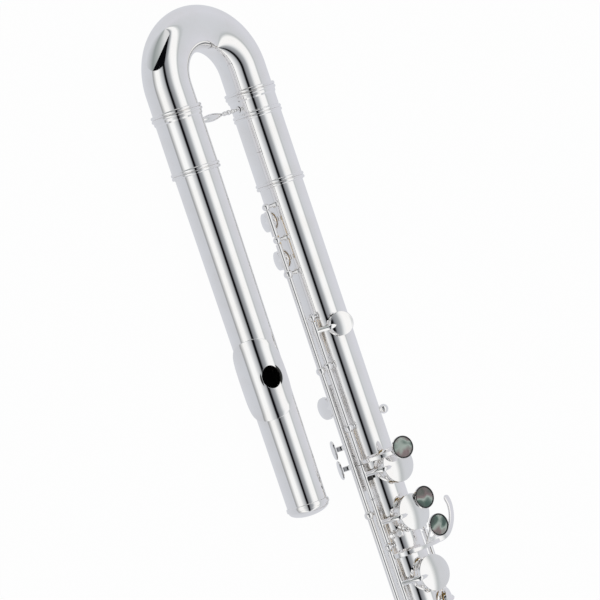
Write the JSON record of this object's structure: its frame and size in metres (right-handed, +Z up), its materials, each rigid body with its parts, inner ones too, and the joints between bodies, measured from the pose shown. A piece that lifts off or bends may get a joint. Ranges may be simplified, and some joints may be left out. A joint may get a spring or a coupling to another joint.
{
  "type": "bass flute",
  "caption": "Bass flute with a U-shaped crook, lip plate, hinged tone-hole keys on ribs and posts, trill and thumb keys, and a foot joint with rollers.",
  "frame": {"origin": "middle of the outline on the plane that the flute lies on", "axes": "+X along the tubes from the crook to the foot, +Z up with the main keys on top, the player on the -Y side"},
  "size_m": [0.9516, 0.1412, 0.056],
  "materials": {
    "silver": "mirror-polished silver plate",
    "steel": "polished steel rod",
    "pad": "felt pad in gold-coloured skin",
    "shell": "polished iridescent shell",
    "cork": "cork with a metal screw"
  },
  "bodies": {
    "body": {"body_tube": "silver", "body_barrel": "silver", "upper_rib": "silver", "lower_rib": "silver", "upper_steel": "steel", "lower_steel": "steel", "thumb_steel": "steel", "g_sharp_steel": "steel"},
    "crook": {"crook_tube": "silver", "crook_ferrule": "silver", "crook_receiver": "silver", "crook_brace": "silver"},
    "head": {"head_tube": "silver", "lip_plate": "silver"},
    "crown": {"crown": "silver"},
    "stopper": {"stopper": "cork"},
    "trill_one": {"trill_one_key": "silver", "trill_one_pad": "pad"},
    "trill_two": {"trill_two_key": "silver", "trill_two_pad": "pad"},
    "c": {"c_key": "silver", "c_pad": "pad", "c_touch": "shell"},
    "thumb_b": {"thumb_b_key": "silver", "thumb_b_pad": "pad"},
    "thumb_b_flat": {"thumb_b_flat_lever": "silver"},
    "b_flat": {"b_flat_key": "silver", "b_flat_pad": "pad"},
    "a": {"a_key": "silver", "a_pad": "pad", "a_touch": "shell"},
    "g": {"g_key": "silver", "upper_g_pad": "pad", "lower_g_pad": "pad", "g_touch": "shell"},
    "g_sharp": {"g_sharp_key": "silver", "g_sharp_pad": "pad"},
    "f_sharp": {"f_sharp_key": "silver", "f_sharp_pad": "pad"},
    "f": {"f_key": "silver", "f_pad": "pad"},
    "e": {"e_key": "silver", "e_pad": "pad"},
    "d": {"d_key": "silver", "d_pad": "pad"},
    "foot": {"foot_tube": "silver", "foot_rib": "silver", "d_sharp_steel": "steel"},
    "d_sharp": {"d_sharp_key": "silver", "d_sharp_pad": "pad"},
    "c_sharp": {"c_sharp_key": "silver", "c_sharp_pad": "pad"},
    "c_sharp_roller": {"c_sharp_roller": "silver"},
    "low_c": {"low_c_key": "silver", "low_c_pad": "pad"},
    "low_c_roller": {"low_c_roller": "silver"}
  },
  "joints": [
    {"name": "crook_slide", "type": "slide", "parent": "body", "child": "crook", "axis": [-1, 0, 0], "range_m": [0, 0.015]},
    {"name": "head_turn", "type": "hinge", "parent": "crook", "child": "head", "pos_m": [-0.33922, -0.0511, 0.01835], "axis": [1, 0, 0], "range_deg": [-30, 30]},
    {"name": "crown_screw", "type": "hinge", "parent": "head", "child": "crown", "pos_m": [-0.33922, -0.0511, 0.01835], "axis": [1, 0, 0], "range_deg": [-180, 180]},
    {"name": "stopper_slide", "type": "slide", "parent": "head", "child": "stopper", "axis": [1, 0, 0], "range_m": [-0.00026, 0.00026]},
    {"name": "trill_one_turn", "type": "hinge", "parent": "body", "child": "trill_one", "pos_m": [0, -0.0027, 0.02286], "axis": [1, 0, 0], "range_deg": [-12, 0], "stiffness_Nm_per_rad": 0.03, "springref_deg": 17.19},
    {"name": "trill_two_turn", "type": "hinge", "parent": "body", "child": "trill_two", "pos_m": [0, -0.0027, 0.02286], "axis": [1, 0, 0], "range_deg": [-12, 0], "stiffness_Nm_per_rad": 0.03, "springref_deg": 17.19},
    {"name": "c_turn", "type": "hinge", "parent": "body", "child": "c", "pos_m": [0, 0.00111, 0.02715], "axis": [1, 0, 0], "range_deg": [-9.2, 0], "stiffness_Nm_per_rad": 0.03, "springref_deg": 17.19},
    {"name": "thumb_b_turn", "type": "hinge", "parent": "body", "child": "thumb_b", "pos_m": [0, 0.00285, 0.02081], "axis": [1, 0, 0], "range_deg": [0, 14], "stiffness_Nm_per_rad": 0.03, "springref_deg": -17.19},
    {"name": "thumb_b_flat_turn", "type": "hinge", "parent": "body", "child": "thumb_b_flat", "pos_m": [0, 0.00285, 0.02081], "axis": [1, 0, 0], "range_deg": [0, 14], "stiffness_Nm_per_rad": 0.02, "springref_deg": -17.19},
    {"name": "b_flat_turn", "type": "hinge", "parent": "body", "child": "b_flat", "pos_m": [0, 0.00111, 0.02715], "axis": [1, 0, 0], "range_deg": [-9.2, 0], "stiffness_Nm_per_rad": 0.03, "springref_deg": 17.19},
    {"name": "a_turn", "type": "hinge", "parent": "body", "child": "a", "pos_m": [0, 0.00111, 0.02715], "axis": [1, 0, 0], "range_deg": [-9.2, 0], "stiffness_Nm_per_rad": 0.03, "springref_deg": 17.19},
    {"name": "g_turn", "type": "hinge", "parent": "body", "child": "g", "pos_m": [0, 0.00111, 0.02715], "axis": [1, 0, 0], "range_deg": [-9.2, 0], "stiffness_Nm_per_rad": 0.04, "springref_deg": 22.92},
    {"name": "g_sharp_turn", "type": "hinge", "parent": "body", "child": "g_sharp", "pos_m": [0, 0.04442, 0.02292], "axis": [1, 0, 0], "range_deg": [-10, 0], "stiffness_Nm_per_rad": 0.03, "springref_deg": 17.19},
    {"name": "f_sharp_turn", "type": "hinge", "parent": "body", "child": "f_sharp", "pos_m": [0, 0.00111, 0.02715], "axis": [1, 0, 0], "range_deg": [-9.2, 0], "stiffness_Nm_per_rad": 0.03, "springref_deg": 17.19},
    {"name": "f_turn", "type": "hinge", "parent": "body", "child": "f", "pos_m": [0, 0.00111, 0.02715], "axis": [1, 0, 0], "range_deg": [-9.2, 0], "stiffness_Nm_per_rad": 0.03, "springref_deg": 17.19},
    {"name": "e_turn", "type": "hinge", "parent": "body", "child": "e", "pos_m": [0, 0.00111, 0.02715], "axis": [1, 0, 0], "range_deg": [-9.2, 0], "stiffness_Nm_per_rad": 0.03, "springref_deg": 17.19},
    {"name": "d_turn", "type": "hinge", "parent": "body", "child": "d", "pos_m": [0, 0.00111, 0.02715], "axis": [1, 0, 0], "range_deg": [-9.2, 0], "stiffness_Nm_per_rad": 0.03, "springref_deg": 17.19},
    {"name": "foot_turn", "type": "hinge", "parent": "body", "child": "foot", "pos_m": [-0.33922, 0.0229, 0.01835], "axis": [1, 0, 0], "range_deg": [-15, 15]},
    {"name": "d_sharp_turn", "type": "hinge", "parent": "foot", "child": "d_sharp", "pos_m": [0, 0.00672, 0.03398], "axis": [1, 0, 0], "range_deg": [-9, 0], "stiffness_Nm_per_rad": 0.03, "springref_deg": 17.19},
    {"name": "c_sharp_turn", "type": "hinge", "parent": "foot", "child": "c_sharp", "pos_m": [0, 0.01487, 0.04043], "axis": [1, 0, 0], "range_deg": [-9.2, 0], "stiffness_Nm_per_rad": 0.03, "springref_deg": 17.19},
    {"name": "low_c_turn", "type": "hinge", "parent": "foot", "child": "low_c", "pos_m": [0, 0.01487, 0.04043], "axis": [1, 0, 0], "range_deg": [-9.2, 0], "stiffness_Nm_per_rad": 0.04, "springref_deg": 22.92},
    {"name": "c_sharp_roller_spin", "type": "hinge", "parent": "c_sharp", "child": "c_sharp_roller", "pos_m": [0, 0.03511, 0.04571], "axis": [1, 0, 0], "continuous": true},
    {"name": "low_c_roller_spin", "type": "hinge", "parent": "low_c", "child": "low_c_roller", "pos_m": [0, 0.04449, 0.0425], "axis": [1, 0, 0], "continuous": true}
  ],
  "couplings": [
    {"joint": "b_flat_turn", "follows": "a_turn", "ratio": 1},
    {"joint": "f_sharp_turn", "follows": "f_turn", "ratio": 1},
    {"joint": "stopper_slide", "follows": "crown_screw", "m_per_rad": 0.00008}
  ]
}
